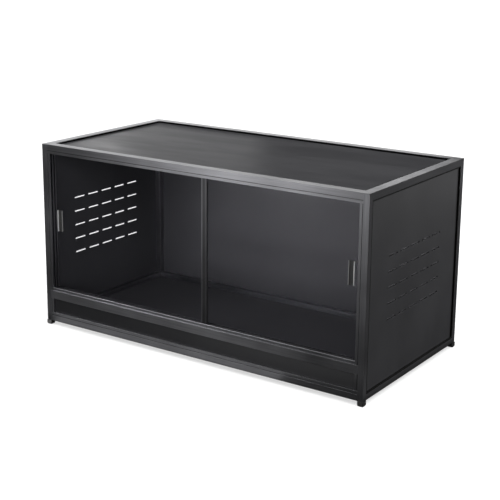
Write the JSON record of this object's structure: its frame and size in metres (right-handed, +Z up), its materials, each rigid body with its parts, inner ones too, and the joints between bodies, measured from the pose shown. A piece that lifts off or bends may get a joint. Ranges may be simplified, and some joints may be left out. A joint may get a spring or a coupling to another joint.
{
  "type": "reptile terrarium",
  "caption": "Long low reptile terrarium: black slotted-frame box with solid panels, vent slots in both ends, a low front board for substrate and two sliding glass doors.",
  "frame": {"origin": "middle of the footprint on the ground, at the soles of the feet", "axes": "+X to the right along the length as seen from the front, +Y towards the back, +Z up; the doors face -Y"},
  "size_m": [1.02, 0.512, 0.518],
  "materials": {
    "frame_black": "black powder coat, satin",
    "panel_black": "black sheet, fine satin grain",
    "rubber_black": "matt black",
    "door_glass": "clear tempered, polished edges",
    "pull_grey": "smoked grey, glossy",
    "screw_steel": "zinc plated",
    "joint_black": "black glass-filled nylon"
  },
  "bodies": {
    "enclosure": {"front_left_post": "frame_black", "front_right_post": "frame_black", "rear_left_post": "frame_black", "rear_right_post": "frame_black", "top_front_rail": "frame_black", "top_rear_rail": "frame_black", "top_left_rail": "frame_black", "top_right_rail": "frame_black", "bottom_front_rail": "frame_black", "bottom_rear_rail": "frame_black", "bottom_left_rail": "frame_black", "bottom_right_rail": "frame_black", "middle_rail": "frame_black", "lower_track": "frame_black", "upper_track": "frame_black", "top_panel": "panel_black", "floor_panel": "panel_black", "back_panel": "panel_black", "left_panel": "panel_black", "right_panel": "panel_black", "substrate_panel": "panel_black", "top_bead": "rubber_black", "back_bead": "rubber_black", "left_bead": "rubber_black", "right_bead": "rubber_black", "foot_front_left": "rubber_black", "foot_front_right": "rubber_black", "foot_rear_left": "rubber_black", "foot_rear_right": "rubber_black", "screw_front_left": "screw_steel", "screw_front_right": "screw_steel", "screw_rear_left": "screw_steel", "screw_rear_right": "screw_steel", "joint_bottom_front_left": "joint_black", "joint_bottom_front_right": "joint_black", "joint_bottom_rear_left": "joint_black", "joint_bottom_rear_right": "joint_black", "joint_top_front_left": "joint_black", "joint_top_front_right": "joint_black", "joint_top_rear_left": "joint_black", "joint_top_rear_right": "joint_black", "middle_key_left": "joint_black", "middle_key_right": "joint_black"},
    "left_door": {"left_door_glass": "door_glass", "left_door_strip": "frame_black", "left_door_pull": "pull_grey"},
    "right_door": {"right_door_glass": "door_glass", "right_door_pull": "pull_grey"}
  },
  "joints": [
    {"name": "left_door_slide", "type": "slide", "parent": "enclosure", "child": "left_door", "axis": [1, 0, 0], "range_m": [0, 0.435]},
    {"name": "right_door_slide", "type": "slide", "parent": "enclosure", "child": "right_door", "axis": [-1, 0, 0], "range_m": [0, 0.515]}
  ]
}
